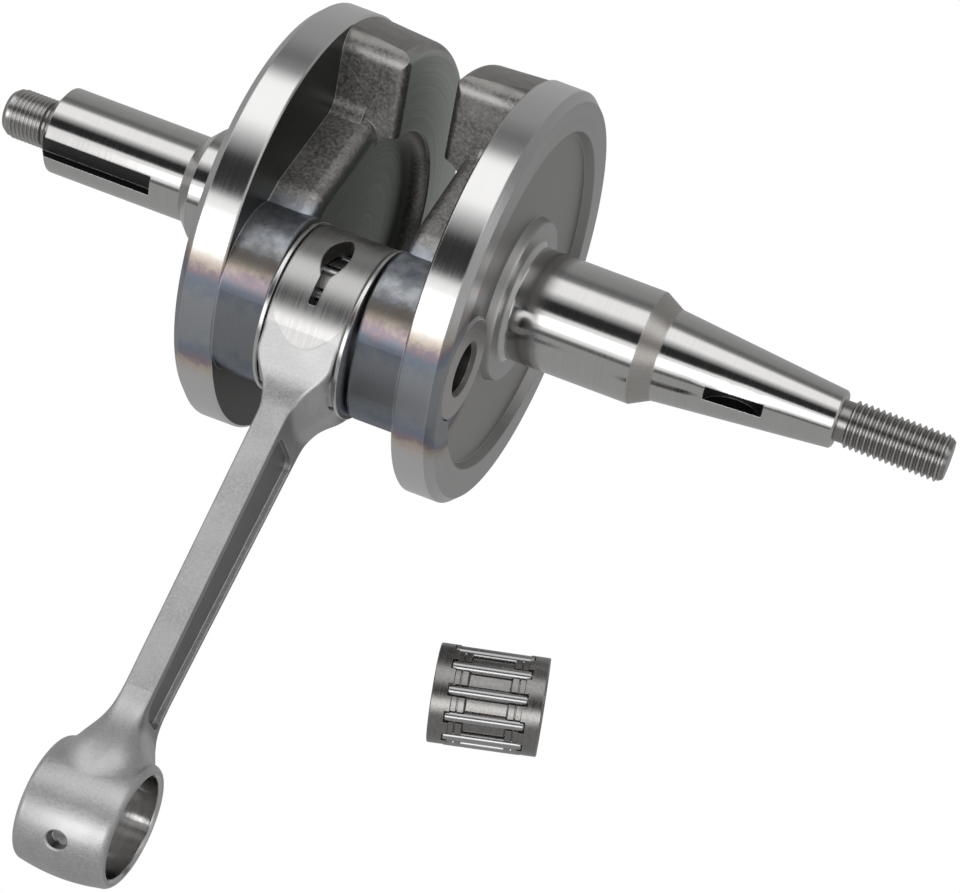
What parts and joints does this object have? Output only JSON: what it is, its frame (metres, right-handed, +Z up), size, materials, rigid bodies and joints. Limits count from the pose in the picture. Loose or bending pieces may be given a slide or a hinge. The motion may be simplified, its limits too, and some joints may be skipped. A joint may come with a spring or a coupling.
{
  "type": "engine crankshaft with connecting rod",
  "caption": "Pressed single-cylinder two-stroke crankshaft with round webs, tapered and keyed shafts, a connecting rod on its crankpin and a loose needle bearing.",
  "frame": {"origin": "crank axis at the middle plane of the connecting rod", "axes": "+X along the crank axis towards the tapered flywheel shaft, +Z up with the webs and the small end resting on a table, -Y towards the side the crankpin and rod are on"},
  "size_m": [0.2352, 0.2133, 0.1024],
  "materials": {
    "ground_steel": "ground rims and shafts, forged dark inner faces",
    "pin_steel": "ground",
    "rod_steel": "shot-peened satin with turned ends",
    "washer_steel": "ground",
    "cage_steel": "dull satin",
    "needle_steel": "polished"
  },
  "bodies": {
    "crank": {"left_web": "ground_steel", "right_web": "ground_steel", "crankpin": "pin_steel"},
    "rod": {"connecting_rod": "rod_steel"},
    "left_washer": {"thrust_washer_left": "washer_steel"},
    "right_washer": {"thrust_washer_right": "washer_steel"},
    "big_cage": {"big_end_cage": "cage_steel"},
    "small_cage": {"small_end_cage": "cage_steel"},
    "big_needle_01": {"big_end_needle_01": "needle_steel"},
    "big_needle_02": {"big_end_needle_02": "needle_steel"},
    "big_needle_03": {"big_end_needle_03": "needle_steel"},
    "big_needle_04": {"big_end_needle_04": "needle_steel"},
    "big_needle_05": {"big_end_needle_05": "needle_steel"},
    "big_needle_06": {"big_end_needle_06": "needle_steel"},
    "big_needle_07": {"big_end_needle_07": "needle_steel"},
    "big_needle_08": {"big_end_needle_08": "needle_steel"},
    "big_needle_09": {"big_end_needle_09": "needle_steel"},
    "big_needle_10": {"big_end_needle_10": "needle_steel"},
    "big_needle_11": {"big_end_needle_11": "needle_steel"},
    "big_needle_12": {"big_end_needle_12": "needle_steel"},
    "big_needle_13": {"big_end_needle_13": "needle_steel"},
    "big_needle_14": {"big_end_needle_14": "needle_steel"},
    "small_needle_01": {"small_end_needle_01": "needle_steel"},
    "small_needle_02": {"small_end_needle_02": "needle_steel"},
    "small_needle_03": {"small_end_needle_03": "needle_steel"},
    "small_needle_04": {"small_end_needle_04": "needle_steel"},
    "small_needle_05": {"small_end_needle_05": "needle_steel"},
    "small_needle_06": {"small_end_needle_06": "needle_steel"},
    "small_needle_07": {"small_end_needle_07": "needle_steel"},
    "small_needle_08": {"small_end_needle_08": "needle_steel"},
    "small_needle_09": {"small_end_needle_09": "needle_steel"},
    "small_needle_10": {"small_end_needle_10": "needle_steel"},
    "small_needle_11": {"small_end_needle_11": "needle_steel"}
  },
  "joints": [
    {"name": "rod_turn", "type": "hinge", "parent": "crank", "child": "rod", "pos_m": [0, -0.03476, 0.00938], "axis": [1, 0, 0], "continuous": true},
    {"name": "left_washer_turn", "type": "hinge", "parent": "crank", "child": "left_washer", "pos_m": [0, -0.03476, 0.00938], "axis": [1, 0, 0], "continuous": true},
    {"name": "right_washer_turn", "type": "hinge", "parent": "crank", "child": "right_washer", "pos_m": [0, -0.03476, 0.00938], "axis": [1, 0, 0], "continuous": true},
    {"name": "big_cage_turn", "type": "hinge", "parent": "crank", "child": "big_cage", "pos_m": [0, -0.03476, 0.00938], "axis": [1, 0, 0], "continuous": true},
    {"name": "small_cage_turn", "type": "hinge", "parent": "crank", "child": "small_cage", "pos_m": [0.06125, -0.0821, -0.0399], "axis": [0.9641, 0.2656, 0], "continuous": true},
    {"name": "big_needle_01_spin", "type": "hinge", "parent": "big_cage", "child": "big_needle_01", "pos_m": [0, -0.03476, 0.02338], "axis": [1, 0, 0], "continuous": true},
    {"name": "big_needle_02_spin", "type": "hinge", "parent": "big_cage", "child": "big_needle_02", "pos_m": [0, -0.04083, 0.02199], "axis": [1, 0, 0], "continuous": true},
    {"name": "big_needle_03_spin", "type": "hinge", "parent": "big_cage", "child": "big_needle_03", "pos_m": [0, -0.0457, 0.01811], "axis": [1, 0, 0], "continuous": true},
    {"name": "big_needle_04_spin", "type": "hinge", "parent": "big_cage", "child": "big_needle_04", "pos_m": [0, -0.04841, 0.01249], "axis": [1, 0, 0], "continuous": true},
    {"name": "big_needle_05_spin", "type": "hinge", "parent": "big_cage", "child": "big_needle_05", "pos_m": [0, -0.04841, 0.00626], "axis": [1, 0, 0], "continuous": true},
    {"name": "big_needle_06_spin", "type": "hinge", "parent": "big_cage", "child": "big_needle_06", "pos_m": [0, -0.0457, 0.00065], "axis": [1, 0, 0], "continuous": true},
    {"name": "big_needle_07_spin", "type": "hinge", "parent": "big_cage", "child": "big_needle_07", "pos_m": [0, -0.04083, -0.00324], "axis": [1, 0, 0], "continuous": true},
    {"name": "big_needle_08_spin", "type": "hinge", "parent": "big_cage", "child": "big_needle_08", "pos_m": [0, -0.03476, -0.00462], "axis": [1, 0, 0], "continuous": true},
    {"name": "big_needle_09_spin", "type": "hinge", "parent": "big_cage", "child": "big_needle_09", "pos_m": [0, -0.02868, -0.00324], "axis": [1, 0, 0], "continuous": true},
    {"name": "big_needle_10_spin", "type": "hinge", "parent": "big_cage", "child": "big_needle_10", "pos_m": [0, -0.02381, 0.00065], "axis": [1, 0, 0], "continuous": true},
    {"name": "big_needle_11_spin", "type": "hinge", "parent": "big_cage", "child": "big_needle_11", "pos_m": [0, -0.02111, 0.00626], "axis": [1, 0, 0], "continuous": true},
    {"name": "big_needle_12_spin", "type": "hinge", "parent": "big_cage", "child": "big_needle_12", "pos_m": [0, -0.02111, 0.01249], "axis": [1, 0, 0], "continuous": true},
    {"name": "big_needle_13_spin", "type": "hinge", "parent": "big_cage", "child": "big_needle_13", "pos_m": [0, -0.02381, 0.01811], "axis": [1, 0, 0], "continuous": true},
    {"name": "big_needle_14_spin", "type": "hinge", "parent": "big_cage", "child": "big_needle_14", "pos_m": [0, -0.02868, 0.02199], "axis": [1, 0, 0], "continuous": true},
    {"name": "small_needle_01_spin", "type": "hinge", "parent": "small_cage", "child": "small_needle_01", "pos_m": [0.06119, -0.08189, -0.02965], "axis": [0.9641, 0.2656, 0], "continuous": true},
    {"name": "small_needle_02_spin", "type": "hinge", "parent": "small_cage", "child": "small_needle_02", "pos_m": [0.06267, -0.08727, -0.03116], "axis": [0.9641, 0.2656, 0], "continuous": true},
    {"name": "small_needle_03_spin", "type": "hinge", "parent": "small_cage", "child": "small_needle_03", "pos_m": [0.0637, -0.091, -0.03545], "axis": [0.9641, 0.2656, 0], "continuous": true},
    {"name": "small_needle_04_spin", "type": "hinge", "parent": "small_cage", "child": "small_needle_04", "pos_m": [0.06395, -0.09191, -0.04115], "axis": [0.9641, 0.2656, 0], "continuous": true},
    {"name": "small_needle_05_spin", "type": "hinge", "parent": "small_cage", "child": "small_needle_05", "pos_m": [0.06334, -0.0897, -0.04645], "axis": [0.9641, 0.2656, 0], "continuous": true},
    {"name": "small_needle_06_spin", "type": "hinge", "parent": "small_cage", "child": "small_needle_06", "pos_m": [0.06207, -0.08508, -0.04967], "axis": [0.9641, 0.2656, 0], "continuous": true},
    {"name": "small_needle_07_spin", "type": "hinge", "parent": "small_cage", "child": "small_needle_07", "pos_m": [0.06054, -0.07952, -0.04979], "axis": [0.9641, 0.2656, 0], "continuous": true},
    {"name": "small_needle_08_spin", "type": "hinge", "parent": "small_cage", "child": "small_needle_08", "pos_m": [0.05923, -0.07477, -0.04677], "axis": [0.9641, 0.2656, 0], "continuous": true},
    {"name": "small_needle_09_spin", "type": "hinge", "parent": "small_cage", "child": "small_needle_09", "pos_m": [0.05856, -0.07235, -0.04157], "axis": [0.9641, 0.2656, 0], "continuous": true},
    {"name": "small_needle_10_spin", "type": "hinge", "parent": "small_cage", "child": "small_needle_10", "pos_m": [0.05875, -0.07303, -0.03584], "axis": [0.9641, 0.2656, 0], "continuous": true},
    {"name": "small_needle_11_spin", "type": "hinge", "parent": "small_cage", "child": "small_needle_11", "pos_m": [0.05973, -0.07658, -0.0314], "axis": [0.9641, 0.2656, 0], "continuous": true}
  ],
  "couplings": [
    {"joint": "left_washer_turn", "follows": "rod_turn", "ratio": 0.5},
    {"joint": "right_washer_turn", "follows": "rod_turn", "ratio": 0.5},
    {"joint": "big_cage_turn", "follows": "rod_turn", "ratio": 0.5536},
    {"joint": "big_needle_01_spin", "follows": "rod_turn", "ratio": 4.6133},
    {"joint": "big_needle_02_spin", "follows": "rod_turn", "ratio": 4.6133},
    {"joint": "big_needle_03_spin", "follows": "rod_turn", "ratio": 4.6133},
    {"joint": "big_needle_04_spin", "follows": "rod_turn", "ratio": 4.6133},
    {"joint": "big_needle_05_spin", "follows": "rod_turn", "ratio": 4.6133},
    {"joint": "big_needle_06_spin", "follows": "rod_turn", "ratio": 4.6133},
    {"joint": "big_needle_07_spin", "follows": "rod_turn", "ratio": 4.6133},
    {"joint": "big_needle_08_spin", "follows": "rod_turn", "ratio": 4.6133},
    {"joint": "big_needle_09_spin", "follows": "rod_turn", "ratio": 4.6133},
    {"joint": "big_needle_10_spin", "follows": "rod_turn", "ratio": 4.6133},
    {"joint": "big_needle_11_spin", "follows": "rod_turn", "ratio": 4.6133},
    {"joint": "big_needle_12_spin", "follows": "rod_turn", "ratio": 4.6133},
    {"joint": "big_needle_13_spin", "follows": "rod_turn", "ratio": 4.6133},
    {"joint": "big_needle_14_spin", "follows": "rod_turn", "ratio": 4.6133},
    {"joint": "small_needle_01_spin", "follows": "small_cage_turn", "ratio": 7.3333},
    {"joint": "small_needle_02_spin", "follows": "small_cage_turn", "ratio": 7.3333},
    {"joint": "small_needle_03_spin", "follows": "small_cage_turn", "ratio": 7.3333},
    {"joint": "small_needle_04_spin", "follows": "small_cage_turn", "ratio": 7.3333},
    {"joint": "small_needle_05_spin", "follows": "small_cage_turn", "ratio": 7.3333},
    {"joint": "small_needle_06_spin", "follows": "small_cage_turn", "ratio": 7.3333},
    {"joint": "small_needle_07_spin", "follows": "small_cage_turn", "ratio": 7.3333},
    {"joint": "small_needle_08_spin", "follows": "small_cage_turn", "ratio": 7.3333},
    {"joint": "small_needle_09_spin", "follows": "small_cage_turn", "ratio": 7.3333},
    {"joint": "small_needle_10_spin", "follows": "small_cage_turn", "ratio": 7.3333},
    {"joint": "small_needle_11_spin", "follows": "small_cage_turn", "ratio": 7.3333}
  ]
}
